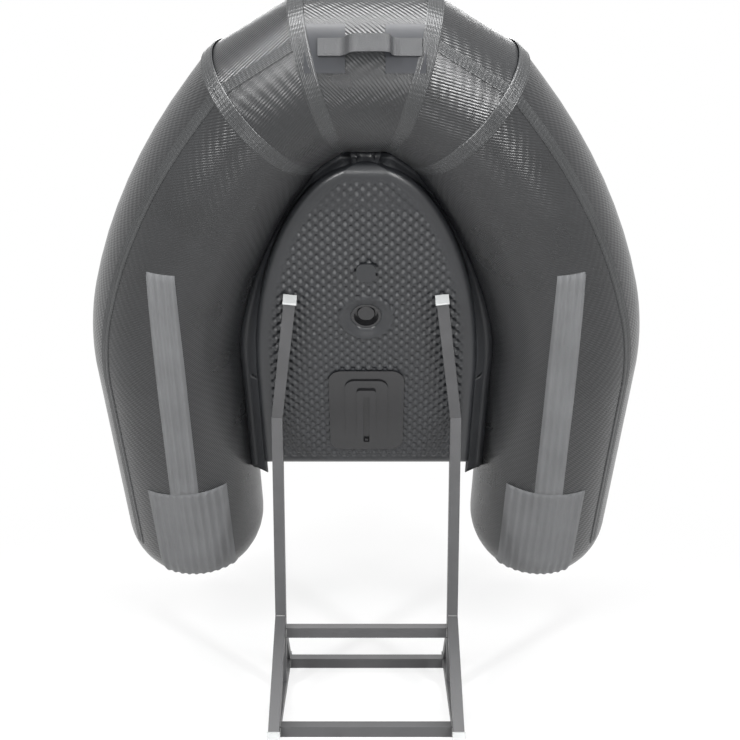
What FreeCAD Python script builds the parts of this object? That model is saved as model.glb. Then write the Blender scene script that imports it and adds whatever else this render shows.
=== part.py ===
import FreeCAD, Part
import math
import os

# A float tube: a U-shaped inflatable boat shown bow up on a square-tube floor stand.
#
# Object frame, mm: +Z up, X across, -Y is the side that the hull's underside faces.
# The origin is on the floor, under the middle of the whole object's box.
#
# The hull is modelled in a frame of its own, (x, s, n), and then leaned onto the stand:
#   x is across, s runs from bow (negative) to stern (positive) along the hull,
#   n is the deck's normal, with n = 0 at the middle of the air tubes.
# Pieces that come in pairs are made on the +X side and mirrored.

# Hull attitude
HULL_LEAN = 29.3        # degrees between the hull's length and the vertical
HULL_Y = 70.7           # where the hull frame's origin sits
HULL_Z = 781.5

# Air tubes
TUBE_R = 176.0
BOW_R = 150.0
TUBE_X = 452.0          # centreline of the straight, parallel sides
TAIL_S = 486.0          # centre of each rounded tail end
ENTRY_S = -70.0         # where the sides start to turn in
FIRST_TURN_R = 600.0
FIRST_TURN = 15.0       # heading in degrees at the end of the first arc
SECOND_TURN_R = 1250.0
SECOND_TURN = 37.0
QUARTER_SEAM = (195.0, -690.0)
BOW_SEAM = (84.0, -764.0)
ARC_STEPS = 3
STRAIGHT_STEPS = 5
TUBE_REACH = 260.0      # taller than any tube, for trimming

# Floor panel and its welded edge
FLOOR_HALF_W = 250.0
FLOOR_BOW_S = -614.0
FLOOR_SHOULDER_S = -60.0
FLOOR_STERN_S = 225.0
FLOOR_LOW_N = -100.0
FLOOR_TOP_N = -76.0
FLOOR_EDGE_R = 16.0
FLANGE_LOW_N = -88.0
FLANGE_T = 5.0
FLANGE_STERN_S = 262.0
FLANGE_OUT_X = 298.0
SKIN_GAP = 0.3          # between a curved skin and what lies on it

# Rubber on the tubes' undersides
STRAKE_T = 5.0
STRAKE_GAP = 1.0
STRAKE_SPANS = 8
STRAKE_FACETS = 4
STRAKE_BOW_S = -400.0
STRAKE_PAD_S = 245.0
STRAKE_BOW_X = (388.0, 449.0)
STRAKE_PAD_X = (404.0, 471.0)
PAD_X = (340.0, 528.0)
PAD_END_S = 575.0

# Fittings in the floor panel
DRAIN_S = -238.0
DRAIN_MOUTH_R = 58.0
DRAIN_RING_R = 33.0
DRAIN_BORE_R = 27.0
DRAIN_DEPTH = 8.0
DRAIN_BORE_L = 12.0
DRAIN_TAIL_L = 17.0
BOSS_S = -362.0
BOSS_LENGTH = 46.0
BOSS_WIDTH = 40.0
BOSS_T = 4.0
FIN_S = 38.0
FIN_PATCH_W = 172.0
FIN_PATCH_L = 250.0
FIN_PATCH_T = 3.0
FIN_PLATE_W = 98.0
FIN_PLATE_L = 190.0
FIN_PLATE_T = 7.0
FIN_RAIL_W = 44.0
FIN_RAIL_L = 168.0
FIN_RAIL_T = 12.0
FIN_SLOT_W = 14.0
FIN_SLOT_L = 146.0
FIN_SLOT_S = 56.0
FIN_FLOOR_N = -102.5

# Webbing handles
STRAP_W = 32.0
STRAP_T = 3.0
STRAP_FOOT = 34.0
STRAP_LIFT = 26.0
BOW_HANDLE_L = 186.0
BOW_HANDLE_X = 8.0
BOW_HANDLE_ANGLE = 43.0     # degrees from straight down, towards the bow
PATCH_T = 2.5
PATCH_X = (36.0, 109.0)
PATCH_HALF_ANGLE = 17.0
SIDE_HANDLE_L = 220.0
SIDE_HANDLE_S = 90.0
SIDE_HANDLE_ANGLE = 42.0    # degrees above level, on the outboard side

# Seat on the deck side
SEAT_HALF_W = 248.0
SEAT_S = (-70.0, 218.0)
SEAT_T = 95.0
SEAT_CLEAR = 2.0
SEAT_ROUND = 28.0
BACK_HALF_W = 225.0
BACK_H = 330.0
BACK_T = 90.0
BACK_S = -78.0
BACK_TILT = 14.0
BACK_ROUND = 30.0

# Fittings on the tubes' deck side
VALVE_S = 400.0
VALVE_R = 27.0
VALVE_H = 9.0
VALVE_CAP_R = 19.0
VALVE_CAP_H = 7.0
FLOOR_VALVE_S = -420.0
HOLDER_S = -5.0
HOLDER_R = 26.0
HOLDER_BORE_R = 22.0
HOLDER_L = 190.0
HOLDER_FLOOR = 14.0
HOLDER_TILT = 28.0
HOLDER_BASE_R = 48.0
HOLDER_BASE_H = 16.0
RING_STATIONS = (260.0, 350.0)
RING_PATCH_R = 40.0
RING_R = 19.0
RING_WIRE_R = 3.0
RING_ANGLE = 62.0           # degrees above level, on the outboard side

# Stand: 25 mm square steel tube with plastic end caps
BAR = 25.0
UPRIGHT_X = 207.0
UPRIGHT_Y = -7.3
ARM_TOP_X = 162.0
ARM_TOP_S = -298.0
CAP_W = 29.0
CAP_T = 5.0
RAIL_FRONT_Y = -263.3
RAIL_REAR_Y = 135.7
FRONT_CROSS_Y = -221.3
REAR_CROSS_Y = 107.7
MIDDLE_CROSS_Z = 151.0
FRONT_BRACE_TOP_Z = 196.0
REAR_BRACE_TOP_Z = 160.0
BRACE_LEAD = 40.0           # spare length that the trims cut off

V = FreeCAD.Vector


# ---------------------------------------------------------------- helpers

def sind(angle):
    return math.sin(math.radians(angle))


def cosd(angle):
    return math.cos(math.radians(angle))


def hull_placement():
    """Leans the hull frame (x, s, n) into the object frame, bow up and towards -Y."""
    turn = FreeCAD.Rotation(V(1, 0, 0), HULL_LEAN - 90.0)
    return FreeCAD.Placement(V(0, HULL_Y, HULL_Z), turn)


def on_hull(shape):
    placed = shape.copy()
    placed.transformShape(hull_placement().toMatrix())
    return placed


def mirrored(shape):
    return shape.mirror(V(0, 0, 0), V(1, 0, 0))


def box_between(low, high):
    size = V(*high) - V(*low)
    return Part.makeBox(size.x, size.y, size.z, V(*low))


def rounded_box(low, high, radius):
    box = box_between(low, high)
    return box.makeFillet(radius, box.Edges)


def save(shape, name):
    solids = shape.Solids
    piece = solids[0] if len(solids) == 1 else Part.makeCompound(solids)
    piece.exportStep("parts/%s.step" % name)
    print("%-26s solids %d  volume %.0f cm3" % (name, len(solids), piece.Volume / 1000.0))


def save_on_hull(shape, name):
    save(on_hull(shape), name)


def save_pair_on_hull(shape, name):
    save(on_hull(shape), name + "_right")
    save(on_hull(mirrored(shape)), name + "_left")


def save_pair(shape, name):
    save(shape, name + "_right")
    save(mirrored(shape), name + "_left")


# ---------------------------------------------------------------- air tubes

def tube_radius(s):
    """Full size along the straight sides, thinner towards the bow."""
    share = (ENTRY_S - s) / (ENTRY_S - BOW_SEAM[1])
    return TUBE_R - (TUBE_R - BOW_R) * min(max(share, 0.0), 1.0)


def section(x, s, heading, radius, mitre=0.0):
    """A tube's cross-section, an ellipse where two runs meet at a mitre."""
    across = V(cosd(heading), -sind(heading), 0)
    ellipse = Part.Ellipse(V(0, 0, 0), radius / cosd(mitre) + 1e-4, radius)
    wire = Part.Wire([ellipse.toShape()])
    frame = FreeCAD.Matrix(
        across.x, 0, across.y, x,
        across.y, 0, -across.x, s,
        0, 1, 0, 0,
        0, 0, 0, 1,
    )
    return wire.transformGeometry(frame)


def run_heading(start, end):
    return math.degrees(math.atan2(start[0] - end[0], start[1] - end[1]))


def curved_stations():
    """Centreline of a side tube's curved part: x, s and heading, from stern to bow."""
    x, s, heading = TUBE_X, ENTRY_S, 0.0
    stations = [(x, s, heading)]
    for radius, last in ((FIRST_TURN_R, FIRST_TURN), (SECOND_TURN_R, SECOND_TURN)):
        for step in range(1, ARC_STEPS + 1):
            angle = heading + (last - heading) * step / ARC_STEPS
            at_x = x - radius * (cosd(heading) - cosd(angle))
            at_s = s - radius * (sind(angle) - sind(heading))
            stations.append((at_x, at_s, angle))
        x, s, heading = stations[-1]
    return stations


def quarter_mitre():
    """Heading of the mitre between side tube and quarter, and half the turn there."""
    before = curved_stations()[-1][2]
    after = run_heading(QUARTER_SEAM, BOW_SEAM)
    return 0.5 * (before + after), 0.5 * (after - before)


def bow_mitre():
    before = run_heading(QUARTER_SEAM, BOW_SEAM)
    return 0.5 * (before + 90.0), 0.5 * (90.0 - before)


def side_tube(extra):
    """Right-hand side tube from the tail end's centre to the quarter seam."""
    wires = []
    for step in range(STRAIGHT_STEPS):
        s = TAIL_S + (ENTRY_S - TAIL_S) * step / STRAIGHT_STEPS
        wires.append(section(TUBE_X, s, 0.0, TUBE_R + extra))
    for x, s, heading in curved_stations():
        wires.append(section(x, s, heading, tube_radius(s) + extra))
    heading, mitre = quarter_mitre()
    x, s = QUARTER_SEAM
    wires.append(section(x, s, heading, tube_radius(s) + extra, mitre))
    return Part.makeLoft(wires, True, False)


def quarter_tube(extra):
    ends = ((QUARTER_SEAM, quarter_mitre()), (BOW_SEAM, bow_mitre()))
    wires = []
    for (x, s), (heading, mitre) in ends:
        wires.append(section(x, s, heading, tube_radius(s) + extra, mitre))
    return Part.makeLoft(wires, True, True)


def bow_tube(extra):
    x, s = BOW_SEAM
    heading, mitre = bow_mitre()
    right = section(x, s, heading, BOW_R + extra, mitre)
    left = section(-x, s, 180.0 - heading, BOW_R + extra, mitre)
    return Part.makeLoft([right, left], True, True)


def tail_cone(extra):
    return Part.makeSphere(TUBE_R + extra, V(TUBE_X, TAIL_S, 0), V(0, 1, 0), 0, 90, 360)


def straight_tube(extra):
    """The parallel part of the right-hand side tube, for seating fittings on it."""
    return Part.makeCylinder(TUBE_R + extra, TAIL_S - ENTRY_S, V(TUBE_X, ENTRY_S, 0), V(0, 1, 0))


# ---------------------------------------------------------------- rubber on the tubes

def tube_point(s):
    """Centre x and heading of the right-hand side tube at a station."""
    if s >= ENTRY_S:
        return TUBE_X, 0.0
    stations = curved_stations()
    for (x0, s0, h0), (x1, s1, h1) in zip(stations, stations[1:]):
        if s1 <= s <= s0:
            share = (s0 - s) / (s0 - s1)
            return x0 + (x1 - x0) * share, h0 + (h1 - h0) * share
    return stations[-1][0], stations[-1][2]


def under_tube(x, s, offset):
    """The point below the tube's surface, a set distance outside it."""
    centre, heading = tube_point(s)
    radius = tube_radius(s) + offset
    aside = (x - centre) * cosd(heading)
    return V(x, s, -math.sqrt(radius * radius - aside * aside))


def wear_strake():
    """A narrow rubber strip that follows the underside of the side tube."""
    wires = []
    for step in range(STRAKE_SPANS + 1):
        share = step / STRAKE_SPANS
        s = STRAKE_BOW_S + (STRAKE_PAD_S - SKIN_GAP - STRAKE_BOW_S) * share
        low = STRAKE_BOW_X[0] + (STRAKE_PAD_X[0] - STRAKE_BOW_X[0]) * share
        high = STRAKE_BOW_X[1] + (STRAKE_PAD_X[1] - STRAKE_BOW_X[1]) * share
        across = [low + (high - low) * i / STRAKE_FACETS for i in range(STRAKE_FACETS + 1)]
        inner = [under_tube(x, s, STRAKE_GAP) for x in across]
        outer = [under_tube(x, s, STRAKE_T) for x in reversed(across)]
        wires.append(Part.makePolygon(inner + outer + [inner[0]]))
    return Part.makeLoft(wires, True, True)


def tail_wear_pad():
    """A wide rubber pad under the stern of the tube, running on over the rounded tail end."""
    prism = box_between((PAD_X[0], STRAKE_PAD_S, -TUBE_REACH), (PAD_X[1], PAD_END_S, 0.0))

    def skin(make):
        return make(STRAKE_T).common(prism).cut(make(SKIN_GAP))

    return skin(straight_tube).fuse(skin(tail_cone))


# ---------------------------------------------------------------- floor panel and its fittings

def arch_prism(half_w, bow_s, stern_s, low_n, high_n):
    """A plate with a straight stern edge and half an ellipse towards the bow."""
    centre = V(0, FLOOR_SHOULDER_S, low_n)
    ellipse = Part.Ellipse(V(0, bow_s, low_n), V(half_w, FLOOR_SHOULDER_S, low_n), centre)
    right = V(half_w, FLOOR_SHOULDER_S, low_n)
    left = V(-half_w, FLOOR_SHOULDER_S, low_n)
    first, last = sorted((ellipse.parameter(right), ellipse.parameter(left)))
    arcs = [ellipse.toShape(first, last), ellipse.toShape(last, first + 2.0 * math.pi)]
    arch = min(arcs, key=lambda edge: edge.CenterOfMass.y)
    corners = [right, V(half_w, stern_s, low_n), V(-half_w, stern_s, low_n), left]
    sides = [Part.makeLine(a, b) for a, b in zip(corners, corners[1:])]
    face = Part.Face(Part.Wire(Part.__sortEdges__([arch] + sides)))
    return face.extrude(V(0, 0, high_n - low_n))


def drain_recess():
    """The cone and the well sunk into the underside of the floor for the drain."""
    mouth = Part.makeCone(
        DRAIN_MOUTH_R, DRAIN_RING_R + SKIN_GAP, DRAIN_DEPTH, V(0, DRAIN_S, FLOOR_LOW_N), V(0, 0, 1)
    )
    well_n = FLOOR_LOW_N + DRAIN_DEPTH
    well = Part.makeCylinder(DRAIN_RING_R + SKIN_GAP, DRAIN_TAIL_L, V(0, DRAIN_S, well_n), V(0, 0, 1))
    return mouth.fuse(well)


def floor_panel():
    plate = arch_prism(FLOOR_HALF_W, FLOOR_BOW_S, FLOOR_STERN_S, FLOOR_LOW_N, FLOOR_TOP_N)
    low_edges = [edge for edge in plate.Edges if edge.BoundBox.ZMax < FLOOR_LOW_N + 1.0]
    plate = plate.makeFillet(FLOOR_EDGE_R, low_edges)
    return plate.cut(drain_recess())


def floor_flange():
    """The welded strip along the floor's side, reaching towards the tube."""
    return box_between(
        (FLOOR_HALF_W + SKIN_GAP, FLOOR_SHOULDER_S, FLANGE_LOW_N),
        (FLANGE_OUT_X, FLANGE_STERN_S, FLANGE_LOW_N + FLANGE_T),
    )


def drain_scupper():
    """A moulded ring with a flared mouth, closed by its plug."""
    low = FLOOR_LOW_N + DRAIN_DEPTH
    ring = Part.makeCylinder(DRAIN_RING_R, DRAIN_BORE_L + 3.0, V(0, DRAIN_S, low), V(0, 0, 1))
    bore = Part.makeCylinder(DRAIN_BORE_R, DRAIN_BORE_L, V(0, DRAIN_S, low), V(0, 0, 1))
    return ring.cut(bore)


def drain_plug():
    """A domed plug seated on the bottom of the scupper's bore."""
    seat_n = FLOOR_LOW_N + DRAIN_DEPTH + DRAIN_BORE_L
    disc = Part.makeCylinder(DRAIN_BORE_R - 7.0, 4.0, V(0, DRAIN_S, seat_n - 4.0), V(0, 0, 1))
    edges = [edge for edge in disc.Edges if edge.BoundBox.ZMax < seat_n - 3.0]
    return disc.makeFillet(3.0, edges)


def floor_boss():
    low = (-0.5 * BOSS_WIDTH, BOSS_S - 0.5 * BOSS_LENGTH, FLOOR_LOW_N - BOSS_T)
    high = (0.5 * BOSS_WIDTH, BOSS_S + 0.5 * BOSS_LENGTH, FLOOR_LOW_N)
    box = box_between(low, high)
    uprights = [edge for edge in box.Edges if edge.BoundBox.ZLength > BOSS_T - 0.1]
    return box.makeFillet(14.0, uprights)


def rounded_plate(width, length, at_s, low_n, high_n, corner):
    box = box_between((-0.5 * width, at_s - 0.5 * length, low_n), (0.5 * width, at_s + 0.5 * length, high_n))
    uprights = [edge for edge in box.Edges if edge.BoundBox.ZLength > high_n - low_n - 0.1]
    return box.makeFillet(corner, uprights)


def fin_box_patch():
    low = FLOOR_LOW_N - FIN_PATCH_T
    patch = rounded_plate(FIN_PATCH_W, FIN_PATCH_L, FIN_S, low, FLOOR_LOW_N, 30.0)
    opening = rounded_plate(
        FIN_PLATE_W + SKIN_GAP, FIN_PLATE_L + SKIN_GAP, FIN_S - 4.0, low, FLOOR_LOW_N, 22.0
    )
    return patch.cut(opening)


def fin_box():
    """A stepped base plate with a raised pair of rails and the fin's slot between them."""
    plate = rounded_plate(
        FIN_PLATE_W, FIN_PLATE_L, FIN_S - 4.0, FLOOR_LOW_N - FIN_PLATE_T, FLOOR_LOW_N, 22.0
    )
    rails = rounded_plate(
        FIN_RAIL_W, FIN_RAIL_L, FIN_SLOT_S - 8.0, FLOOR_LOW_N - FIN_RAIL_T, FLOOR_LOW_N - FIN_PLATE_T, 8.0
    )
    slot = rounded_plate(
        FIN_SLOT_W, FIN_SLOT_L, FIN_SLOT_S, FLOOR_LOW_N - FIN_RAIL_T, FIN_FLOOR_N, 3.0
    )
    return plate.fuse(rails).cut(slot)


# ---------------------------------------------------------------- webbing handles

def strap(length):
    """A webbing handle along local X, feet on z = 0, its middle arched up by STRAP_LIFT."""
    half = 0.5 * length
    foot = half - STRAP_FOOT
    rise = 0.62 * foot

    def line(z):
        return [
            V(-half, 0, z), V(-foot, 0, z), V(-rise, 0, z + 0.72 * STRAP_LIFT),
            V(0, 0, z + STRAP_LIFT), V(rise, 0, z + 0.72 * STRAP_LIFT), V(foot, 0, z), V(half, 0, z),
        ]

    def edges(z):
        points = line(z)
        arch = Part.BSplineCurve()
        arch.interpolate(Points=points[1:6], InitialTangent=V(1, 0, 0), FinalTangent=V(1, 0, 0))
        return [Part.makeLine(points[0], points[1]), arch.toShape(), Part.makeLine(points[5], points[6])]

    ends = [
        Part.makeLine(V(-half, 0, 0), V(-half, 0, STRAP_T)),
        Part.makeLine(V(half, 0, 0), V(half, 0, STRAP_T)),
    ]
    wire = Part.Wire(Part.__sortEdges__(edges(0.0) + edges(STRAP_T) + ends))
    ribbon = Part.Face(wire).extrude(V(0, STRAP_W, 0))
    ribbon.translate(V(0, -0.5 * STRAP_W, 0))
    return ribbon


def set_on(shape, origin, along, outward):
    """Places a shape's local X along one direction and its local Z along another."""
    side = outward.cross(along)
    frame = FreeCAD.Matrix(
        along.x, side.x, outward.x, origin.x,
        along.y, side.y, outward.y, origin.y,
        along.z, side.z, outward.z, origin.z,
        0, 0, 0, 1,
    )
    placed = shape.copy()
    placed.transformShape(frame)
    return placed


def bow_handle():
    outward = V(0, -sind(BOW_HANDLE_ANGLE), -cosd(BOW_HANDLE_ANGLE))
    stand_off = BOW_R + PATCH_T + 1.5
    origin = V(BOW_HANDLE_X, BOW_SEAM[1], 0) + outward * stand_off
    return set_on(strap(BOW_HANDLE_L), origin, V(1, 0, 0), outward)


def bow_handle_patch():
    """A curved reinforcing patch under one foot of the bow handle."""
    def sector(radius):
        width = PATCH_X[1] - PATCH_X[0]
        return Part.makeCylinder(
            radius, width, V(PATCH_X[0], BOW_SEAM[1], 0), V(1, 0, 0), 2.0 * PATCH_HALF_ANGLE
        )

    ring = sector(BOW_R + PATCH_T).cut(sector(BOW_R + SKIN_GAP))
    middle = ring.Solids[0].CenterOfMass - V(0, BOW_SEAM[1], 0)
    now = math.degrees(math.atan2(middle.y, middle.z))
    wanted = math.degrees(math.atan2(-sind(BOW_HANDLE_ANGLE), -cosd(BOW_HANDLE_ANGLE)))
    ring.rotate(V(0, BOW_SEAM[1], 0), V(1, 0, 0), now - wanted)
    return ring


def side_handle():
    outward = V(cosd(SIDE_HANDLE_ANGLE), 0, sind(SIDE_HANDLE_ANGLE))
    origin = V(TUBE_X, SIDE_HANDLE_S, 0) + outward * (TUBE_R + 1.5)
    return set_on(strap(SIDE_HANDLE_L), origin, V(0, 1, 0), outward)


# ---------------------------------------------------------------- seat

def seat_cushion():
    low_n = FLOOR_TOP_N + SEAT_CLEAR
    return rounded_box((-SEAT_HALF_W, SEAT_S[0], low_n), (SEAT_HALF_W, SEAT_S[1], low_n + SEAT_T), SEAT_ROUND)


def seat_backrest():
    low_n = FLOOR_TOP_N + SEAT_CLEAR
    shape = rounded_box(
        (-BACK_HALF_W, BACK_S - BACK_T, low_n), (BACK_HALF_W, BACK_S, low_n + BACK_H), BACK_ROUND
    )
    shape.rotate(V(0, BACK_S - BACK_T, low_n), V(1, 0, 0), BACK_TILT)
    return shape


# ---------------------------------------------------------------- deck fittings

def inflation_valve():
    x = tube_point(VALVE_S)[0]
    top = tube_radius(VALVE_S)
    base = Part.makeCylinder(VALVE_R, VALVE_H + 6.0, V(x, VALVE_S, top - 6.0), V(0, 0, 1))
    cap = Part.makeCylinder(VALVE_CAP_R, VALVE_CAP_H, V(x, VALVE_S, top + VALVE_H), V(0, 0, 1))
    return base.fuse(cap).cut(straight_tube(SKIN_GAP))


def floor_valve():
    base = Part.makeCylinder(VALVE_R, VALVE_H, V(0, FLOOR_VALVE_S, FLOOR_TOP_N), V(0, 0, 1))
    cap = Part.makeCylinder(VALVE_CAP_R, VALVE_CAP_H, V(0, FLOOR_VALVE_S, FLOOR_TOP_N + VALVE_H), V(0, 0, 1))
    return base.fuse(cap)


def rod_holder():
    """A leaning open tube on a round base, on top of the side tube."""
    x = tube_point(HOLDER_S)[0]
    top = tube_radius(HOLDER_S)
    base = Part.makeCylinder(HOLDER_BASE_R, HOLDER_BASE_H + 14.0, V(x, HOLDER_S, top - 14.0), V(0, 0, 1))
    lean = V(0, -sind(HOLDER_TILT), cosd(HOLDER_TILT))
    foot = V(x, HOLDER_S + 12.0, top + 4.0)
    barrel = Part.makeCylinder(HOLDER_R, HOLDER_L, foot, lean)
    bore = Part.makeCylinder(HOLDER_BORE_R, HOLDER_L, foot + lean * HOLDER_FLOOR, lean)
    return base.fuse(barrel).cut(bore).cut(straight_tube(SKIN_GAP))


def d_ring(at_s):
    """A round patch with a standing wire ring."""
    outward = V(cosd(RING_ANGLE), 0, sind(RING_ANGLE))
    middle = V(TUBE_X, at_s, 0)
    disc = Part.makeCylinder(RING_PATCH_R, 24.0, middle + outward * (TUBE_R - 20.0), outward)
    disc = disc.common(straight_tube(PATCH_T)).cut(straight_tube(SKIN_GAP))
    ring = Part.makeTorus(RING_R, RING_WIRE_R, middle + outward * (TUBE_R + RING_R), V(0, 1, 0))
    ring = ring.cut(straight_tube(SKIN_GAP + 1.0))
    return disc.fuse(ring)


def d_rings():
    rings = [d_ring(at_s) for at_s in RING_STATIONS]
    return Part.makeCompound([solid for ring in rings for solid in ring.Solids])


# ---------------------------------------------------------------- stand

def bar_between(start, end, face_normal, size=BAR):
    """A square bar from point to point, one face square to face_normal."""
    along = (end - start).normalize()
    back = (face_normal - along * face_normal.dot(along)).normalize()
    bar = Part.makeBox((end - start).Length, size, size, V(0, -0.5 * size, -0.5 * size))
    return set_on(bar, start, along, back)


def half_space(point, normal, reach=400.0):
    """A large box on the side of a plane that its normal points to."""
    side = V(1, 0, 0) if abs(normal.x) < 0.9 else V(0, 1, 0)
    along = (side - normal * side.dot(normal)).normalize()
    box = Part.makeBox(2.0 * reach, 2.0 * reach, reach, V(-reach, -reach, 0))
    return set_on(box, point, along, normal)


def hull_point(x, s, n):
    return hull_placement().multVec(V(x, s, n))


def deck_normal():
    return V(0, cosd(HULL_LEAN), sind(HULL_LEAN))


def arm_line():
    """Bend and top end of the right-hand arm, which lies against the floor panel."""
    arm_n = FLOOR_LOW_N - 0.5 * BAR
    normal = deck_normal()
    rise = (arm_n - normal.y * (UPRIGHT_Y - HULL_Y)) / normal.z
    bend = V(UPRIGHT_X, UPRIGHT_Y, HULL_Z + rise)
    return bend, hull_point(ARM_TOP_X, ARM_TOP_S, arm_n)


def upright():
    """One bent bar: straight up from the foot rail, then the leaning arm."""
    bend, top = arm_line()
    foot = V(UPRIGHT_X, UPRIGHT_Y, BAR)
    arm_way = (top - bend).normalize()
    mitre = (arm_way + V(0, 0, 1)).normalize()
    post = bar_between(foot, bend + V(0, 0, BRACE_LEAD), V(0, 1, 0))
    post = post.cut(half_space(bend, mitre))
    arm = bar_between(bend - arm_way * BRACE_LEAD, top, deck_normal())
    arm = arm.cut(half_space(bend, mitre * -1.0))
    return post.fuse(arm)


def arm_cap():
    bend, top = arm_line()
    way = (top - bend).normalize()
    cap = bar_between(top, top + way * CAP_T, deck_normal(), CAP_W)
    return cap.translated(deck_normal() * (-0.5 * (CAP_W - BAR)))


def foot_rail():
    centre_z = 0.5 * BAR
    start = V(UPRIGHT_X, RAIL_FRONT_Y + CAP_T, centre_z)
    end = V(UPRIGHT_X, RAIL_REAR_Y - CAP_T, centre_z)
    return bar_between(start, end, V(0, 0, 1))


def rail_caps():
    caps = []
    for y in (RAIL_FRONT_Y, RAIL_REAR_Y - CAP_T):
        caps.append(box_between(
            (UPRIGHT_X - 0.5 * CAP_W, y, 0.0), (UPRIGHT_X + 0.5 * CAP_W, y + CAP_T, 0.5 * (BAR + CAP_W))
        ))
    return Part.makeCompound(caps)


def brace(top_z, foot_y):
    """A slanted bar from the post's face down to the foot rail."""
    way = 1.0 if foot_y > UPRIGHT_Y else -1.0
    face_y = UPRIGHT_Y + way * 0.5 * BAR
    high = V(UPRIGHT_X, face_y, top_z)
    low = V(UPRIGHT_X, foot_y, BAR)
    along = (high - low).normalize()
    drop = along.cross(V(1, 0, 0)).normalize() * (0.5 * BAR)
    inward = drop if drop.z < 0 else drop * -1.0
    bar = bar_between(low - along * BRACE_LEAD + inward, high + along * BRACE_LEAD + inward, V(1, 0, 0))
    bar = bar.cut(half_space(V(UPRIGHT_X, 0, BAR), V(0, 0, -1)))
    return bar.cut(half_space(V(UPRIGHT_X, face_y, 0), V(0, -way, 0)))


def crossbar(y, low_z):
    inner = UPRIGHT_X - 0.5 * BAR
    return box_between((-inner, y - 0.5 * BAR, low_z), (inner, y + 0.5 * BAR, low_z + BAR))


# ---------------------------------------------------------------- everything

def main():
    os.makedirs("parts", exist_ok=True)

    save_on_hull(bow_tube(0.0), "bow_tube")
    save_pair_on_hull(quarter_tube(0.0), "bow_quarter_tube")
    save_pair_on_hull(side_tube(0.0), "side_tube")
    save_pair_on_hull(tail_cone(0.0), "tail_cone")
    save_pair_on_hull(wear_strake(), "wear_strake")
    save_pair_on_hull(tail_wear_pad(), "tail_wear_pad")

    save_on_hull(floor_panel(), "floor_panel")
    save_pair_on_hull(floor_flange(), "floor_flange")
    save_on_hull(drain_scupper(), "drain_scupper")
    save_on_hull(drain_plug(), "drain_plug")
    save_on_hull(floor_boss(), "floor_boss")
    save_on_hull(fin_box_patch(), "fin_box_patch")
    save_on_hull(fin_box(), "fin_box")

    save_on_hull(bow_handle(), "bow_handle")
    save_pair_on_hull(bow_handle_patch(), "bow_handle_patch")
    save_pair_on_hull(side_handle(), "side_handle")

    save_on_hull(seat_cushion(), "seat_cushion")
    save_on_hull(seat_backrest(), "seat_backrest")

    save_pair_on_hull(inflation_valve(), "inflation_valve")
    save_on_hull(floor_valve(), "floor_valve")
    save_pair_on_hull(rod_holder(), "rod_holder")
    save_pair_on_hull(d_rings(), "d_rings")

    save_pair(upright(), "stand_upright")
    save_pair(arm_cap(), "arm_cap")
    save_pair(foot_rail(), "foot_rail")
    save_pair(rail_caps(), "rail_caps")
    save_pair(brace(FRONT_BRACE_TOP_Z, RAIL_FRONT_Y + CAP_T), "front_brace")
    save_pair(brace(REAR_BRACE_TOP_Z, RAIL_REAR_Y - CAP_T), "rear_brace")
    save(crossbar(FRONT_CROSS_Y, 0.0), "front_crossbar")
    save(crossbar(REAR_CROSS_Y, 0.0), "rear_crossbar")
    save(crossbar(UPRIGHT_Y, MIDDLE_CROSS_Z - 0.5 * BAR), "middle_crossbar")


main()
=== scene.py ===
import bmesh
import bpy
import math
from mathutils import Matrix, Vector


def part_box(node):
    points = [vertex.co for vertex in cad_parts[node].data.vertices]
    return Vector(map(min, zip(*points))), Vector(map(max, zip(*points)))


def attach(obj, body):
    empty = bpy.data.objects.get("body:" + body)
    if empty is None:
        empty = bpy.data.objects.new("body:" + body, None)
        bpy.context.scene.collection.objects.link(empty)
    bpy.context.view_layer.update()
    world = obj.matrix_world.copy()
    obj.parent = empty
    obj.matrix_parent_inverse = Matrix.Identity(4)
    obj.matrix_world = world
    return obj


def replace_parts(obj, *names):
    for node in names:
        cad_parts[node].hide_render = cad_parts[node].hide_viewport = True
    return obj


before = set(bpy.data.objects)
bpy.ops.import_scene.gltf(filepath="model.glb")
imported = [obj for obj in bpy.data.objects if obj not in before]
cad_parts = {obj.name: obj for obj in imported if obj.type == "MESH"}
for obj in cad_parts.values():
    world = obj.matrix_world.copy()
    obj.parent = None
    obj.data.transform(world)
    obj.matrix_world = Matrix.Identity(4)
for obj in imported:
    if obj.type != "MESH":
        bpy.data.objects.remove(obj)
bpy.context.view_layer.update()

# Driving values repeated from part.py, in metres and degrees. The hull frame is (x, s, n).
HULL_LEAN = 29.3
HULL_Y = 0.0707
HULL_Z = 0.7815
TUBE_R = 0.176
BOW_R = 0.150
TUBE_X = 0.452
TAIL_S = 0.486
ENTRY_S = -0.070
TURNS = ((0.600, 15.0), (1.250, 37.0))
QUARTER_SEAM = (0.195, -0.690)
BOW_SEAM = (0.084, -0.764)
FLOOR_HALF_W = 0.250
FLOOR_BOW_S = -0.614
FLOOR_SHOULDER_S = -0.060
FLOOR_STERN_S = 0.225
FLOOR_LOW_N = -0.100
FLOOR_TOP_N = -0.076
DRAIN_S = -0.238
DRAIN_MOUTH_R = 0.058
DRAIN_RING_R = 0.033
DRAIN_DEPTH = 0.008
STRAKE_T = 0.005
STRAKE_BOW_S = -0.400
STRAKE_PAD_S = 0.245
STRAKE_BOW_X = (0.388, 0.449)
STRAKE_PAD_X = (0.404, 0.471)
PAD_X = (0.340, 0.528)
PAD_END_S = 0.575
SEAT_HALF_W = 0.248
SEAT_S = (-0.070, 0.218)
SEAT_T = 0.095
SEAT_CLEAR = 0.002
BACK_HALF_W = 0.225
BACK_H = 0.330
BACK_T = 0.090
BACK_S = -0.078
BACK_TILT = 14.0
UPRIGHT_Y = -0.0073

RING_STEPS = 96


def sind(angle):
    return math.sin(math.radians(angle))


def cosd(angle):
    return math.cos(math.radians(angle))


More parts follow.
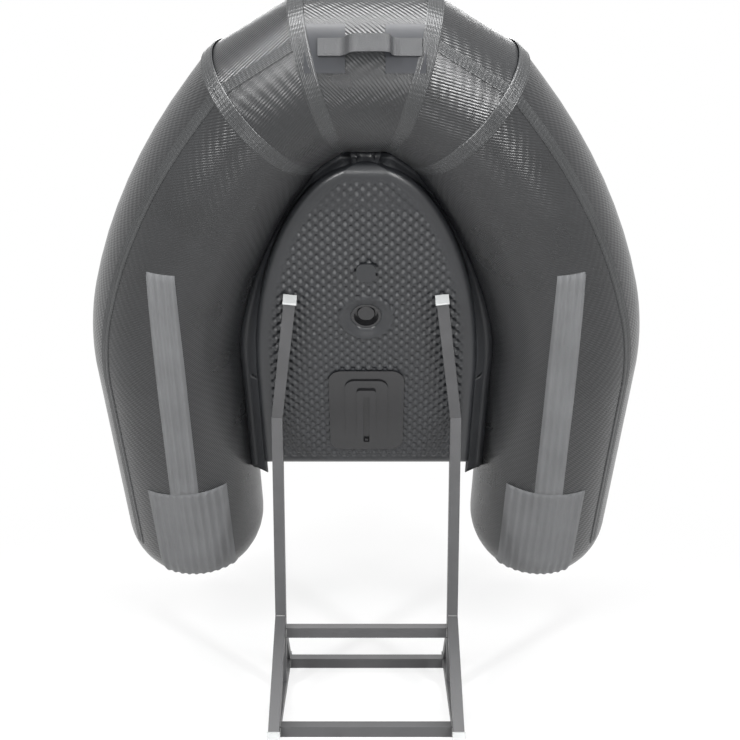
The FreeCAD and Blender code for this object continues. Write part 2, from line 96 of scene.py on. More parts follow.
def hull(x, s, n):
    """Hull frame to object frame."""
    y = HULL_Y + sind(HULL_LEAN) * s + cosd(HULL_LEAN) * n
    z = HULL_Z - cosd(HULL_LEAN) * s + sind(HULL_LEAN) * n
    return (x, y, z)


# ------------------------------------------------------------------ materials

COAT_ROUGHNESS = 0.25
NOISE_DETAIL = 5.0
GRAIN_DETAIL = 3.0


def new_material(name, color, roughness, metallic=0.0, coat=0.0):
    mat = bpy.data.materials.new(name)
    mat.use_nodes = True
    shader = mat.node_tree.nodes["Principled BSDF"]
    shader.inputs["Base Color"].default_value = (*color, 1.0)
    shader.inputs["Roughness"].default_value = roughness
    shader.inputs["Metallic"].default_value = metallic
    shader.inputs["Coat Weight"].default_value = coat
    shader.inputs["Coat Roughness"].default_value = COAT_ROUGHNESS
    return mat


def node(mat, kind, **values):
    made = mat.node_tree.nodes.new(kind)
    for key, value in values.items():
        if hasattr(made, key):
            setattr(made, key, value)
        else:
            made.inputs[key.replace("_", " ")].default_value = value
    return made


def math_node(mat, operation, first, second):
    made = node(mat, "ShaderNodeMath", operation=operation)
    for socket, value in zip(made.inputs, (first, second)):
        if isinstance(value, (int, float)):
            socket.default_value = value
        else:
            mat.node_tree.links.new(value, socket)
    return made.outputs[0]


def add_bump(mat, height, strength, distance):
    shader = mat.node_tree.nodes["Principled BSDF"]
    bump = node(mat, "ShaderNodeBump", Strength=strength, Distance=distance)
    mat.node_tree.links.new(height, bump.inputs["Height"])
    mat.node_tree.links.new(bump.outputs["Normal"], shader.inputs["Normal"])


def mottle(mat, color, spread, scale, rough_low, rough_high):
    """Uneven colour and roughness over the whole surface."""
    shader = mat.node_tree.nodes["Principled BSDF"]
    coords = node(mat, "ShaderNodeTexCoord")
    noise = node(mat, "ShaderNodeTexNoise", Scale=scale, Detail=NOISE_DETAIL)
    mat.node_tree.links.new(coords.outputs["Object"], noise.inputs["Vector"])
    ramp = node(mat, "ShaderNodeValToRGB")
    ramp.color_ramp.elements[0].color = (*[c * (1.0 - spread) for c in color], 1.0)
    ramp.color_ramp.elements[1].color = (*[min(1.0, c * (1.0 + spread)) for c in color], 1.0)
    mat.node_tree.links.new(noise.outputs["Fac"], ramp.inputs["Fac"])
    mat.node_tree.links.new(ramp.outputs["Color"], shader.inputs["Base Color"])
    rough = node(mat, "ShaderNodeMapRange", To_Min=rough_low, To_Max=rough_high)
    mat.node_tree.links.new(noise.outputs["Fac"], rough.inputs["Value"])
    mat.node_tree.links.new(rough.outputs["Result"], shader.inputs["Roughness"])
    return noise


FABRIC_COAT = 0.15
FABRIC_SPREAD = 0.35
FABRIC_MOTTLE = 9.0
TWILL_PITCHES = 3.0
TWILL_SHARE = 0.45
RIB_H = 0.0012


def ribbed_fabric(name, color, along, around, pitch, rough=(0.22, 0.36), strength=0.34):
    """Coated fabric with fine embossed ribs; along and around set their direction in the UVs."""
    mat = new_material(name, color, rough[0], coat=FABRIC_COAT)
    mottle(mat, color, FABRIC_SPREAD, FABRIC_MOTTLE, *rough)
    uv = node(mat, "ShaderNodeUVMap", uv_map="metres")
    split = node(mat, "ShaderNodeSeparateXYZ")
    mat.node_tree.links.new(uv.outputs["UV"], split.inputs[0])

    def wave(across_u, across_v, length):
        """A sine over the UVs with one period in each length, in metres."""
        u = math_node(mat, "MULTIPLY", split.outputs[0], across_u * 2.0 * math.pi / length)
        v = math_node(mat, "MULTIPLY", split.outputs[1], across_v * 2.0 * math.pi / length)
        return math_node(mat, "SINE", math_node(mat, "ADD", u, v), 0.0)

    ribs = wave(along, around, pitch)
    twill = wave(around, -along, TWILL_PITCHES * pitch)
    height = math_node(mat, "ADD", ribs, math_node(mat, "MULTIPLY", twill, TWILL_SHARE))
    add_bump(mat, height, strength, RIB_H)
    return mat


GRAIN_H = 0.0008
WEAVE_H = 0.001


def plain(name, color, spread, scale, rough, fine, strength, metallic=0.0, coat=0.0):
    """Mottled colour with a fine grain of bump."""
    mat = new_material(name, color, rough[0], metallic, coat)
    mottle(mat, color, spread, scale, *rough)
    coords = node(mat, "ShaderNodeTexCoord")
    grain = node(mat, "ShaderNodeTexNoise", Scale=fine, Detail=GRAIN_DETAIL)
    mat.node_tree.links.new(coords.outputs["Object"], grain.inputs["Vector"])
    add_bump(mat, grain.outputs["Fac"], strength, GRAIN_H)
    return mat


def woven(name, color, scale, roughness):
    """Threads crossing at right angles, as bump, over mottled colour."""
    mat = new_material(name, color, roughness)
    coords = node(mat, "ShaderNodeTexCoord")
    mottle(mat, color, 0.3, 14.0, roughness - 0.08, roughness + 0.08)
    heights = []
    for direction in ("X", "Z"):
        wave = node(mat, "ShaderNodeTexWave", Scale=scale, bands_direction=direction)
        mat.node_tree.links.new(coords.outputs["Object"], wave.inputs["Vector"])
        heights.append(wave.outputs["Fac"])
    add_bump(mat, math_node(mat, "MULTIPLY", *heights), 0.6, WEAVE_H)
    return mat


BLACK = (0.010, 0.0105, 0.0115)
MATS = {
    "side_right": ribbed_fabric("hull_twill_right", BLACK, 0.72, 0.69, 0.0052),
    "side_left": ribbed_fabric("hull_twill_left", BLACK, 0.72, 0.69, 0.0052),
    "quarter": ribbed_fabric("hull_twill_quarter", BLACK, 0.3, 0.95, 0.0052),
    "bow": ribbed_fabric("hull_twill_bow", (0.012, 0.0125, 0.0135), 0.80, -0.60, 0.0052),
    "outer": ribbed_fabric("hull_outer_band", (0.010, 0.011, 0.014), 0.0, 1.0, 0.0040, (0.32, 0.5), 0.25),
    "tape": ribbed_fabric("seam_tape", (0.024, 0.025, 0.026), 0.0, 1.0, 0.0030, (0.24, 0.38), 0.4),
    "floor": plain("floor_fabric", (0.012, 0.013, 0.015), 0.3, 8.0, (0.26, 0.4), 900.0, 0.2, coat=0.1),
    "rubber": plain("strake_rubber", (0.095, 0.097, 0.100), 0.25, 12.0, (0.5, 0.68), 700.0, 0.3),
    "plastic": plain("moulded_plastic", (0.007, 0.007, 0.008), 0.2, 20.0, (0.16, 0.28), 500.0, 0.1, coat=0.3),
    "webbing": woven("webbing", (0.040, 0.041, 0.043), 240.0, 0.42),
    "seat": woven("seat_fabric", (0.045, 0.048, 0.053), 160.0, 0.7),
    "ring": plain("ring_steel", (0.55, 0.56, 0.58), 0.1, 30.0, (0.2, 0.35), 800.0, 0.1, metallic=1.0),
    "paint": plain("stand_paint", (0.048, 0.048, 0.050), 0.22, 18.0, (0.38, 0.55), 420.0, 0.25),
    "cap": plain("cap_plastic", (0.42, 0.43, 0.43), 0.12, 20.0, (0.5, 0.62), 600.0, 0.2),
    "weld": plain("weld_bead", (0.19, 0.19, 0.19), 0.4, 60.0, (0.3, 0.5), 500.0, 0.4, metallic=0.6),
}


# ------------------------------------------------------------------ mesh helpers

def grid_piece(name, rows, mat, uvs=None, closed=False):
    """A smooth sheet of quads from rows of points, in the object frame."""
    count = len(rows[0])
    points = [p for row in rows for p in row]
    faces = []
    for i in range(len(rows) - 1):
        for j in range(count if closed else count - 1):
            k = (j + 1) % count
            faces.append((i * count + j, i * count + k, (i + 1) * count + k, (i + 1) * count + j))
    mesh = bpy.data.meshes.new(name)
    mesh.from_pydata(points, [], faces)
    if uvs is not None:
        layer = mesh.uv_layers.new(name="metres")
        wrap = uvs[1]
        for face_index, face in enumerate(mesh.polygons):
            j = face_index % (count if closed else count - 1)
            for loop in face.loop_indices:
                vertex = mesh.loops[loop].vertex_index
                i, column = divmod(vertex, count)
                if closed and j == count - 1 and column == 0:
                    column = count
                layer.data[loop].uv = (uvs[0][i], wrap * column)
    mesh.shade_smooth()
    mesh.materials.append(mat)
    piece = bpy.data.objects.new(name, mesh)
    bpy.context.collection.objects.link(piece)
    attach(piece, "root")
    return piece


# ------------------------------------------------------------------ air tubes

def tube_radius(s):
    share = (ENTRY_S - s) / (ENTRY_S - BOW_SEAM[1])
    return TUBE_R - (TUBE_R - BOW_R) * min(max(share, 0.0), 1.0)


def curved_stations(steps):
    x, s, heading = TUBE_X, ENTRY_S, 0.0
    stations = [(x, s, heading)]
    for radius, last in TURNS:
        for step in range(1, steps + 1):
            angle = heading + (last - heading) * step / steps
            at_x = x - radius * (cosd(heading) - cosd(angle))
            at_s = s - radius * (sind(angle) - sind(heading))
            stations.append((at_x, at_s, angle))
        x, s, heading = stations[-1]
    return stations


QUARTER_HEADING = math.degrees(math.atan2(QUARTER_SEAM[0] - BOW_SEAM[0], QUARTER_SEAM[1] - BOW_SEAM[1]))
SIDE_END = curved_stations(1)[-1][2]
QUARTER_MITRE = (0.5 * (SIDE_END + QUARTER_HEADING), 0.5 * (QUARTER_HEADING - SIDE_END))
BOW_MITRE = (0.5 * (QUARTER_HEADING + 90.0), 0.5 * (90.0 - QUARTER_HEADING))


def ring_point(station, angle, extra=0.0):
    """A point on a tube's skin: angle 0 faces outboard, 90 the deck, 270 straight down."""
    x, s, heading, radius, mitre = station
    aside = (radius + extra) / cosd(mitre) * cosd(angle)
    return (x + aside * cosd(heading), s - aside * sind(heading), (radius + extra) * sind(angle))


CAP_STEPS = 12
STRAIGHT_STEPS = 12
CURVE_STEPS = 8
SPANS = 6


def side_list():
    """Stations of one side tube, from its rounded tail end to the seam with the bow quarter."""
    stations = []
    for step in range(CAP_STEPS, 0, -1):
        tilt = 90.0 * step / (CAP_STEPS + 0.5)
        stations.append((TUBE_X, TAIL_S + TUBE_R * sind(tilt), 0.0, TUBE_R * cosd(tilt), 0.0))
    for step in range(STRAIGHT_STEPS + 1):
        s = TAIL_S + (ENTRY_S - TAIL_S) * step / STRAIGHT_STEPS
        stations.append((TUBE_X, s, 0.0, TUBE_R, 0.0))
    for x, s, heading in curved_stations(CURVE_STEPS)[1:]:
        stations.append((x, s, heading, tube_radius(s), 0.0))
    stations.append((*QUARTER_SEAM, QUARTER_MITRE[0], tube_radius(QUARTER_SEAM[1]), QUARTER_MITRE[1]))
    return stations


def run_lengths(stations):
    lengths = [0.0]
    for a, b in zip(stations, stations[1:]):
        lengths.append(lengths[-1] + math.hypot(b[0] - a[0], b[1] - a[1]))
    return lengths


def tube_piece(name, stations, side, mat, replaced):
    rows = []
    for station in stations:
        ring = [ring_point(station, side * 360.0 * j / RING_STEPS) for j in range(RING_STEPS)]
        rows.append([hull(side * p[0], p[1], p[2]) for p in ring])
    uvs = (run_lengths(stations), side * 2.0 * math.pi * TUBE_R / RING_STEPS)
    piece = grid_piece(name, rows, mat, uvs, closed=True)
    close_end(piece)
    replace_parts(piece, *replaced)


def close_end(piece):
    """Closes the small ring at the very end of a tail."""
    mesh = piece.data
    made = bmesh.new()
    made.from_mesh(mesh)
    made.verts.ensure_lookup_table()
    made.faces.new([made.verts[j] for j in reversed(range(RING_STEPS))])
    made.to_mesh(mesh)
    made.free()
    mesh.shade_smooth()


def between(a, b, share):
    return tuple(u + (v - u) * share for u, v in zip(a, b))


QUARTER_ENDS = (
    (*QUARTER_SEAM, QUARTER_MITRE[0], tube_radius(QUARTER_SEAM[1]), QUARTER_MITRE[1]),
    (*BOW_SEAM, BOW_MITRE[0], BOW_R, BOW_MITRE[1]),
)
BOW_END = QUARTER_ENDS[1]
BOW_FAR_END = (-BOW_SEAM[0], BOW_SEAM[1], 180.0 - BOW_MITRE[0], BOW_R, BOW_MITRE[1])


def straight_rows(start, end):
    """Rings between two mitred ends: each point runs straight from one to the other."""
    rows = []
    for i in range(SPANS + 1):
        ring = []
        for j in range(RING_STEPS):
            a = ring_point(start, 360.0 * j / RING_STEPS)
            b = ring_point(end, 360.0 * j / RING_STEPS)
            ring.append(between(a, b, i / SPANS))
        rows.append(ring)
    return rows


def straight_tube(name, start, end, side, mat, replaced):
    rows = [[hull(side * p[0], p[1], p[2]) for p in row] for row in straight_rows(start, end)]
    if side < 0:
        rows.reverse()
    reach = math.hypot(end[0] - start[0], end[1] - start[1])
    uvs = ([reach * i / SPANS for i in range(SPANS + 1)], 2.0 * math.pi * BOW_R / RING_STEPS)
    piece = grid_piece(name, rows, mat, uvs, closed=True)
    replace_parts(piece, replaced)


for side, tag in ((1, "right"), (-1, "left")):
    stood_for = ("side_tube_" + tag, "tail_cone_" + tag)
    tube_piece("side_skin_" + tag, side_list(), side, MATS["side_" + tag], stood_for)
    straight_tube("quarter_skin_" + tag, *QUARTER_ENDS, side, MATS["quarter"], "bow_quarter_tube_" + tag)
straight_tube("bow_skin", BOW_END, BOW_FAR_END, 1, MATS["bow"], "bow_tube")


# ------------------------------------------------------------------ seam tapes

TAPE_HALF = 0.016
LONG_TAPE_HALF = 0.012
TAPE_LIFT = 0.0016
TAPE_COLUMNS = 12
TAPE_RIBS = 5.0
TAPE_RIB_H = 0.0005
TAPE_EDGE_DROP = 0.0012
MITRE_STEPS = 72
SEAM_ANGLE = 318.0


def tape(name, centre, sideways, side, half=TAPE_HALF):
    """A ribbed strip laid on the skin: centre points and the direction across, in the hull frame."""
    rows = []
    lengths = [0.0]
    for i, (point, across) in enumerate(zip(centre, sideways)):
        row = []
        for j in range(TAPE_COLUMNS + 1):
            share = j / (0.5 * TAPE_COLUMNS) - 1.0
            rib = TAPE_RIB_H * math.cos(share * TAPE_RIBS * math.pi)
            rib -= TAPE_EDGE_DROP if j in (0, TAPE_COLUMNS) else 0.0
            out = Vector(point[1]) * (TAPE_LIFT + rib)
            p = Vector(point[0]) + Vector(across) * share * half + out
            row.append(hull(side * p.x, p.y, p.z))
        rows.append(row)
        if i:
            lengths.append(lengths[-1] + (Vector(point[0]) - Vector(centre[i - 1][0])).length)
    grid_piece(name, rows, MATS["tape"], (lengths, half / (0.5 * TAPE_COLUMNS)))


def skin_normal(station, angle):
    a = Vector(ring_point(station, angle))
    return (Vector(ring_point(station, angle, 0.01)) - a).normalized()


def mitre_tape(name, station, side):
    """A tape round the tube along a mitre seam."""
    heading = station[2]
    run = (-sind(heading), -cosd(heading), 0.0)
    angles = [360.0 * i / MITRE_STEPS for i in range(MITRE_STEPS + 1)]
    centre = [(ring_point(station, a), skin_normal(station, a)) for a in angles]
    tape(name, centre, [run] * len(centre), side)


def long_tape(name, stations, angle, side):
    """A tape along the tube at one angle of its section."""
    centre = [(ring_point(st, angle), skin_normal(st, angle)) for st in stations]
    across = []
    for st in stations:
        ahead = Vector(ring_point(st, angle + 2.0)) - Vector(ring_point(st, angle - 2.0))
        across.append(tuple(ahead.normalized()))
    tape(name, centre, across, side, LONG_TAPE_HALF)


for side, tag in ((1, "right"), (-1, "left")):
    mitre_tape("quarter_seam_tape_" + tag, QUARTER_ENDS[0], side)
    mitre_tape("bow_seam_tape_" + tag, QUARTER_ENDS[1], side)
    long_tape("side_seam_tape_" + tag, side_list()[CAP_STEPS:], SEAM_ANGLE, side)
    long_tape("quarter_side_seam_tape_" + tag, QUARTER_ENDS, SEAM_ANGLE, side)
long_tape("bow_side_seam_tape", (BOW_END, BOW_FAR_END), SEAM_ANGLE, 1)


# ------------------------------------------------------------------ strakes and tail pads

COLUMNS_PER_RIB = 8
STRIP_STEPS = 64
STRIP_EDGE_T = 0.0006
GROOVE_DEPTH = 0.0026


def tube_line(s):
    """x and heading of the right-hand tube's centre line at one station."""
    if s >= ENTRY_S:
        return TUBE_X, 0.0
    stations = curved_stations(CURVE_STEPS)
    for a, b in zip(stations, stations[1:]):
        if b[1] <= s <= a[1]:
            share = (a[1] - s) / (a[1] - b[1])
            return a[0] + (b[0] - a[0]) * share, a[2] + (b[2] - a[2]) * share
    return stations[-1][0], stations[-1][2]


def under(x, s, offset):
    """A point on the tube's underside, in the hull frame."""
    centre, heading = tube_line(s)
    radius = tube_radius(s) + offset
    aside = (x - centre) * cosd(heading)
    beyond = max(0.0, s - TAIL_S)
    return (x, s, -math.sqrt(max(radius * radius - aside * aside - beyond * beyond, 0.0)))


def ribbed_strip(name, span, edges, ribs, side, replaced):
    """A rubber strip with lengthwise ribs and deep grooves, lying under the tube."""
    rows = []
    across = ribs * COLUMNS_PER_RIB
    for i in range(STRIP_STEPS + 1):
        t = i / STRIP_STEPS
        s = span[0] + (span[1] - span[0]) * t
        low, high = (a + (b - a) * t for a, b in edges)
        row = []
        for j in range(across + 1):
            u = j / across
            wave = math.cos(2.0 * math.pi * ribs * u)
            depth = GROOVE_DEPTH * min(1.0, max(0.0, 0.5 + 1.6 * wave))
            edge = i in (0, STRIP_STEPS) or j in (0, across)
            offset = STRIP_EDGE_T if edge else STRAKE_T - depth
            p = under(low + (high - low) * u, s, offset)
            row.append(hull(side * p[0], p[1], p[2]))
        rows.append(row)
    piece = grid_piece(name, rows, MATS["rubber"])
    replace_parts(piece, replaced)


STRAKE_EDGES = ((STRAKE_BOW_X[0], STRAKE_PAD_X[0]), (STRAKE_BOW_X[1], STRAKE_PAD_X[1]))
PAD_EDGES = ((PAD_X[0], PAD_X[0]), (PAD_X[1], PAD_X[1]))
for side, tag in ((1, "right"), (-1, "left")):
    ribbed_strip("strake_" + tag, (STRAKE_BOW_S, STRAKE_PAD_S), STRAKE_EDGES, 4, side, "wear_strake_" + tag)
    ribbed_strip("tail_pad_" + tag, (STRAKE_PAD_S, PAD_END_S), PAD_EDGES, 10, side, "tail_wear_pad_" + tag)


# ------------------------------------------------------------------ floor panel

DIMPLE = 0.024
DIMPLE_H = 0.0034
BEVEL = 0.028
BEVEL_DROP = 0.020
DIMPLE_FADE = 0.012
FLOOR_INSET = 0.0036
FLOOR_SHEET = 0.003
FLOOR_COLUMNS = 180
FLOOR_ROWS = 250
BOW_SHARE = 0.12
FIN_CLEAR_X = 0.088
FIN_CLEAR_S = (-0.090, 0.166)


def floor_half_width(s):
    if s >= FLOOR_SHOULDER_S:
        return FLOOR_HALF_W
    share = (FLOOR_SHOULDER_S - s) / (FLOOR_SHOULDER_S - FLOOR_BOW_S)
    return FLOOR_HALF_W * math.sqrt(max(0.0, 1.0 - share * share))


def floor_height(x, s, edge):
    """Height of the floor's underside: dimples, rolled edge, and the drain's cone."""
    r = math.hypot(x, s - DRAIN_S)
    if r < DRAIN_RING_R:
        return FLOOR_TOP_N - 0.001
    if r < DRAIN_MOUTH_R:
        share = (DRAIN_MOUTH_R - r) / (DRAIN_MOUTH_R - DRAIN_RING_R)
        return FLOOR_LOW_N + DRAIN_DEPTH * share * share * (3.0 - 2.0 * share)
    near = min(1.0, max(0.0, (edge - BEVEL) / DIMPLE_FADE))
    plain_patch = abs(x) < FIN_CLEAR_X and FIN_CLEAR_S[0] < s < FIN_CLEAR_S[1]
    bump = math.sin(2.0 * math.pi * x / DIMPLE) * math.sin(2.0 * math.pi * s / DIMPLE)
    raised = 0.0 if plain_patch else DIMPLE_H * bump * near
    roll = 0.0
    if edge < BEVEL:
        t = 1.0 - edge / BEVEL
        roll = BEVEL_DROP * (1.0 - math.sqrt(max(0.0, 1.0 - t * t)))
    return FLOOR_LOW_N + FLOOR_INSET - raised + roll


def floor_piece():
    """The floor's underside as one sheet, with its rows closer together near the bow."""
    rows = []
    for i in range(FLOOR_ROWS + 1):
        t = i / FLOOR_ROWS
        s = FLOOR_BOW_S + (FLOOR_STERN_S - FLOOR_BOW_S) * (t if t > BOW_SHARE else t * t / BOW_SHARE)
        half = max(floor_half_width(s), 0.0005)
        row = []
        for j in range(FLOOR_COLUMNS + 1):
            x = half * (2.0 * j / FLOOR_COLUMNS - 1.0)
            end_edge = min(FLOOR_STERN_S - s, s - FLOOR_BOW_S)
            edge = min(half - abs(x), end_edge)
            row.append(hull(x, s, floor_height(x, s, edge)))
        rows.append(row)
    under_side = grid_piece("floor_skin", rows, MATS["floor"])
    solid = under_side.modifiers.new("thickness", "SOLIDIFY")
    solid.thickness = FLOOR_SHEET
    solid.offset = 0.0
    return under_side


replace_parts(floor_piece(), "floor_panel")


SKIRT_LOW_N = -0.086
SKIRT_HIGH_N = -0.058
SKIRT_STERN_S = 0.262
SKIRT_STEPS = 120
SKIRT_COLUMNS = 8
SKIRT_CROWDING = 1.7
SKIRT_CURVE_STEPS = 24
SKIRT_LAP = 0.004
SKIRT_LEAD = 0.02
SKIRT_INSET = 0.006
SKIRT_T = 0.002
BEAD_H = 0.003
BEAD_AT = 0.75
BEAD_WIDTH = 0.1


def inner_skin_x(s, n):
    """Where the right-hand tubes' inner skin lies across the well, at one station and height."""
    if s >= ENTRY_S:
        return TUBE_X - math.sqrt(TUBE_R * TUBE_R - n * n)
    best = 1.0
    stations = curved_stations(SKIRT_CURVE_STEPS)
    stations += [(*QUARTER_SEAM, QUARTER_MITRE[0]), (*BOW_SEAM, BOW_MITRE[0]), (0.0, BOW_SEAM[1], 90.0)]
    points = []
    for x, at_s, heading in stations:
        inward = math.sqrt(tube_radius(at_s) ** 2 - n * n)
        points.append((x - inward * cosd(heading), at_s + inward * sind(heading)))
    for a, b in zip(points, points[1:]):
        if min(a[1], b[1]) <= s <= max(a[1], b[1]) and abs(a[1] - b[1]) > 1e-6:
            share = (s - a[1]) / (b[1] - a[1])
            best = min(best, a[0] + (b[0] - a[0]) * share)
    return max(best, 0.0) if best < 1.0 else 0.0


def skirt():
    """The welded edge between the floor panel and the tubes, with a thin raised line along it."""
    bow_s = BOW_SEAM[1] + math.sqrt(BOW_R * BOW_R - SKIRT_HIGH_N * SKIRT_HIGH_N) - SKIRT_LAP
    path = []
    for i in range(SKIRT_STEPS + 1):
        t = i / SKIRT_STEPS
        s = SKIRT_STERN_S + (bow_s - SKIRT_STERN_S) * (1.0 - (1.0 - t) ** SKIRT_CROWDING)
        path.append((inner_skin_x(s, SKIRT_HIGH_N) + SKIRT_LAP, s))
    path = [(x, s) for x, s in path if x > 0.005] + [(0.0, bow_s)]
    whole = path + [(-x, s) for x, s in reversed(path[:-1])]
    rows = []
    for x, s in whole:
        lead = SKIRT_LEAD if s < FLOOR_SHOULDER_S else 0.0
        inside_s = min(max(s + lead, FLOOR_BOW_S + SKIRT_LAP), SKIRT_STERN_S)
        inside_x = math.copysign(min(max(floor_half_width(inside_s) - SKIRT_INSET, 0.0), abs(x)), x)
        row = []
        for j in range(SKIRT_COLUMNS + 1):
            u = j / SKIRT_COLUMNS
            bead = BEAD_H * math.exp(-((u - BEAD_AT) / BEAD_WIDTH) ** 2)
            n = SKIRT_LOW_N + (SKIRT_HIGH_N - SKIRT_LOW_N) * u - bead
            row.append(hull(inside_x + (x - inside_x) * u, inside_s + (s - inside_s) * u, n))
        rows.append(row)
    piece = grid_piece("floor_skirt", rows, MATS["floor"])
    solid = piece.modifiers.new("thickness", "SOLIDIFY")
    solid.thickness = SKIRT_T
    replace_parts(piece, "floor_flange_left", "floor_flange_right")


skirt()


# ------------------------------------------------------------------ seat

PAD_RINGS = 40
PAD_AROUND = 96
FLAT_POWER = 0.30
CORNER_POWER = 0.22
CROWN_POWER = 0.55
CHANNEL_DEPTH = 0.004
CHANNEL_PITCH = 0.09
CHANNEL_WIDTH = 0.006


def power(value, exponent):
    """A power that keeps the sign."""
    return math.copysign(abs(value) ** exponent, value)


def pillow(name, half_x, low, high, base_n, thick, tilt, replaced):
    """A crowned cushion: a rounded block with shallow sewn channels, tilted about its low edge."""
    rows = []
    mid_s = 0.5 * (low + high)
    half_s = 0.5 * (high - low)
    for i in range(PAD_RINGS + 1):
        lat = math.pi * (i / PAD_RINGS - 0.5)
        flat = power(math.cos(lat), FLAT_POWER)
        row = []
        for j in range(PAD_AROUND):
            lon = 2.0 * math.pi * j / PAD_AROUND
            x = half_x * flat * power(math.cos(lon), CORNER_POWER)
            s = half_s * flat * power(math.sin(lon), CORNER_POWER)
            n = 0.5 * thick * power(math.sin(lat), CROWN_POWER)
            off_channel = math.fmod(abs(x), CHANNEL_PITCH) - 0.5 * CHANNEL_PITCH
            channel = CHANNEL_DEPTH * math.exp(-(off_channel / CHANNEL_WIDTH) ** 2)
            n -= math.copysign(channel, n) * abs(math.sin(lat))
            ds = mid_s + s - low
            dn = n + 0.5 * thick
            at_s = low + ds * cosd(tilt) - dn * sind(tilt)
            at_n = base_n + ds * sind(tilt) + dn * cosd(tilt)
            row.append(hull(x, at_s, at_n))
        rows.append(row)
    piece = grid_piece(name, rows, MATS["seat"], closed=True)
    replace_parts(piece, replaced)


SEAT_N = FLOOR_TOP_N + SEAT_CLEAR
pillow("seat_pad", SEAT_HALF_W, SEAT_S[0], SEAT_S[1], SEAT_N, SEAT_T, 0.0, "seat_cushion")
pillow("backrest_pad", BACK_HALF_W, BACK_S - BACK_T, BACK_S, SEAT_N, BACK_H, BACK_TILT, "seat_backrest")


# ------------------------------------------------------------------ CAD nodes that stay

FINISHES = {
    "floor_boss": "floor",
    "fin_box_patch": "plastic",
    "fin_box": "plastic",
    "drain_scupper": "plastic",
    "drain_plug": "plastic",
    "bow_handle_patch": "outer",
    "bow_handle": "webbing",
    "side_handle": "webbing",
    "inflation_valve": "plastic",
    "floor_valve": "plastic",
    "rod_holder": "plastic",
    "d_rings": "ring",
    "stand_upright": "paint",
    "foot_rail": "paint",
    "front_brace": "paint",
    "rear_brace": "paint",
    "front_crossbar": "paint",
    "rear_crossbar": "paint",
    "middle_crossbar": "paint",
    "arm_cap": "cap",
    "rail_caps": "cap",
}
for name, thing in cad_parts.items():
    stem = name.replace("_left", "").replace("_right", "")
    if stem in FINISHES:
        for slot in thing.material_slots:
            slot.material = MATS[FINISHES[stem]]


# ------------------------------------------------------------------ weld beads

WELD_BEADS = 6
WELD_R = 0.0022
WELD_GAP = 0.002
BEAD_STEPS = 6
BEAD_SIDES = 10


def weld(name, start, end):
    """A short row of overlapping beads along a joint."""
    rows = []
    a, b = Vector(start), Vector(end)
    along = (b - a).normalized()
    side = along.orthogonal().normalized()
    other = along.cross(side)
    steps = WELD_BEADS * BEAD_STEPS
    for i in range(steps + 1):
        t = i / steps
        swell = WELD_R * (0.65 + 0.35 * abs(math.sin(math.pi * WELD_BEADS * t)))
        swell *= 0.3 if i in (0, steps) else 1.0
        middle = a + (b - a) * t
        ring = []
        for j in range(BEAD_SIDES):
            turn = 2.0 * math.pi * j / BEAD_SIDES
            ring.append(tuple(middle + side * math.cos(turn) * swell + other * math.sin(turn) * swell))
        rows.append(ring)
    grid_piece(name, rows, MATS["weld"], closed=True)


for side, tag in ((1, "right"), (-1, "left")):
    for bar in ("front_crossbar", "rear_crossbar", "middle_crossbar"):
        low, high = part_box(bar)
        x = side * high[0]
        front_low, front_high = (x, low[1], low[2] + WELD_GAP), (x, low[1], high[2] - WELD_GAP)
        weld("weld_%s_%s" % (bar, tag), front_low, front_high)
        top_front, top_back = (x, low[1] + WELD_GAP, high[2]), (x, high[1] - WELD_GAP, high[2])
        weld("weld_top_%s_%s" % (bar, tag), top_front, top_back)
    low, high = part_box("front_brace_" + tag)
    brace_left, brace_right = (low[0] + WELD_GAP, high[1], high[2]), (high[0] - WELD_GAP, high[1], high[2])
    weld("weld_brace_" + tag, brace_left, brace_right)


# ------------------------------------------------------------------ stage, light and camera

STAGE_ROUGHNESS = 0.9
FILL_STRENGTH = 0.10

def stage_plane(name, corners, color):
    mesh = bpy.data.meshes.new(name)
    mesh.from_pydata(corners, [], [(0, 1, 2, 3)])
    mat = new_material(name + "_finish", color, STAGE_ROUGHNESS)
    mesh.materials.append(mat)
    plane = bpy.data.objects.new(name, mesh)
    bpy.context.collection.objects.link(plane)
    return plane


def seen_directly(tree):
    """1 for rays seen straight, in a reflection or through glass; 0 for the light on the object."""
    path = tree.nodes.new("ShaderNodeLightPath")
    total = path.outputs["Is Camera Ray"]
    for name in ("Is Glossy Ray", "Is Transmission Ray"):
        add = tree.nodes.new("ShaderNodeMath")
        add.operation = "ADD"
        add.use_clamp = True
        tree.links.new(total, add.inputs[0])
        tree.links.new(path.outputs[name], add.inputs[1])
        total = add.outputs[0]
    return total


def fade_to_white(mat):
    """White where it is seen, away from the object; close by, some of the shadow stays."""
    tree = mat.node_tree
    coords = node(mat, "ShaderNodeTexCoord")
    length = node(mat, "ShaderNodeVectorMath", operation="LENGTH")
    tree.links.new(coords.outputs["Object"], length.inputs[0])
    fade = node(mat, "ShaderNodeMapRange", From_Min=0.5, From_Max=1.8, To_Min=0.72, To_Max=1.0)
    tree.links.new(length.outputs["Value"], fade.inputs["Value"])
    share = math_node(mat, "MULTIPLY", fade.outputs["Result"], seen_directly(tree))
    glow = node(mat, "ShaderNodeEmission")
    mix = node(mat, "ShaderNodeMixShader")
    tree.links.new(share, mix.inputs["Fac"])
    tree.links.new(tree.nodes["Principled BSDF"].outputs[0], mix.inputs[1])
    tree.links.new(glow.outputs[0], mix.inputs[2])
    tree.links.new(mix.outputs[0], tree.nodes["Material Output"].inputs["Surface"])


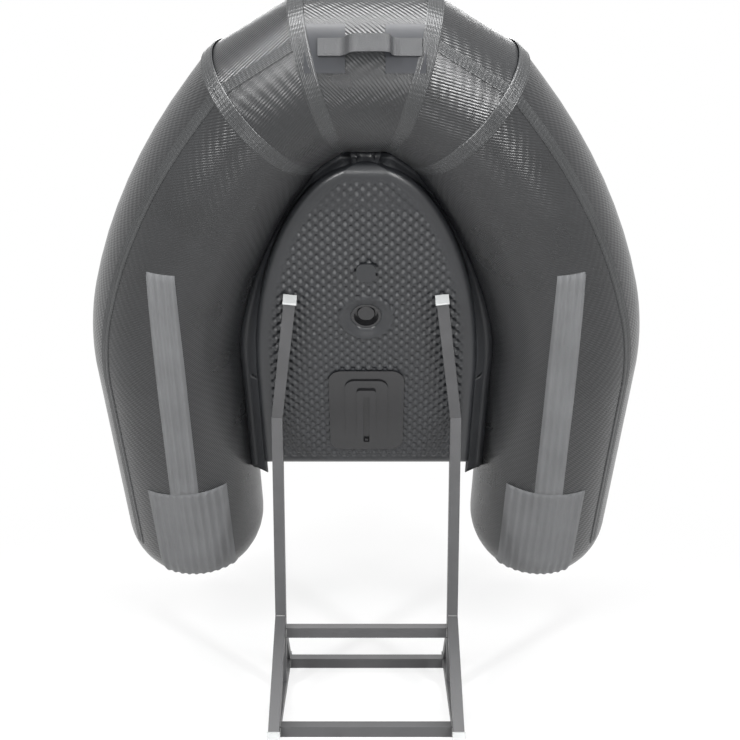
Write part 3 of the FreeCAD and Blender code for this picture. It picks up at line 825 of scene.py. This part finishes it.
FLOOR_REACH = 60.0
CORNER_SIGNS = ((-1, -1), (1, -1), (1, 1), (-1, 1))
floor_corners = [(a * FLOOR_REACH, b * FLOOR_REACH, 0) for a, b in CORNER_SIGNS]
studio_floor = stage_plane("studio_floor", floor_corners, (0.9, 0.9, 0.9))
fade_to_white(studio_floor.data.materials[0])


def white_world():
    """Soft grey light on the object; the camera, mirrors and glass see white."""
    world = bpy.data.worlds.new("studio")
    bpy.context.scene.world = world
    world.use_nodes = True
    tree = world.node_tree
    back = tree.nodes["Background"]
    back.inputs["Color"].default_value = (1, 1, 1, 1)
    strength = tree.nodes.new("ShaderNodeMapRange")
    strength.inputs["To Min"].default_value = FILL_STRENGTH
    strength.inputs["To Max"].default_value = 1.0
    tree.links.new(seen_directly(tree), strength.inputs["Value"])
    tree.links.new(strength.outputs["Result"], back.inputs["Strength"])


white_world()


def area_light(name, place, aim, size, power):
    data = bpy.data.lights.new(name, "AREA")
    data.shape = "RECTANGLE"
    data.size, data.size_y = size
    data.energy = power
    lamp = bpy.data.objects.new(name, data)
    lamp.location = place
    lamp.rotation_euler = (Vector(aim) - Vector(place)).to_track_quat("-Z", "Y").to_euler()
    bpy.context.collection.objects.link(lamp)


area_light("key_left", (-1.9, -2.4, 2.6), (0, 0, 0.9), (0.35, 2.2), 120)
area_light("key_right", (1.9, -2.4, 2.4), (0, 0, 0.9), (0.35, 2.2), 110)
area_light("top", (0, -0.9, 3.2), (0, 0, 1.0), (2.0, 0.5), 75)
area_light("low_front", (0, -3.2, 0.6), (0, 0, 0.9), (2.4, 0.3), 30)
area_light("back", (0, 3.0, 2.6), (0, 0.2, 0.9), (2.4, 1.2), 50)

CAMERA_PITCH = 12.3
CAMERA_LENS = 54.3
CAMERA_X = 0.0084
CAMERA_BACK = 2.511
CAMERA_H = 1.346
camera_data = bpy.data.cameras.new("camera")
camera_data.lens = CAMERA_LENS
camera = bpy.data.objects.new("camera", camera_data)
camera.location = (CAMERA_X, UPRIGHT_Y - CAMERA_BACK, CAMERA_H)
camera.rotation_euler = (math.radians(90.0 - CAMERA_PITCH), 0.0, 0.0)
bpy.context.collection.objects.link(camera)
bpy.context.scene.camera = camera
bpy.context.scene.view_settings.view_transform = "Standard"
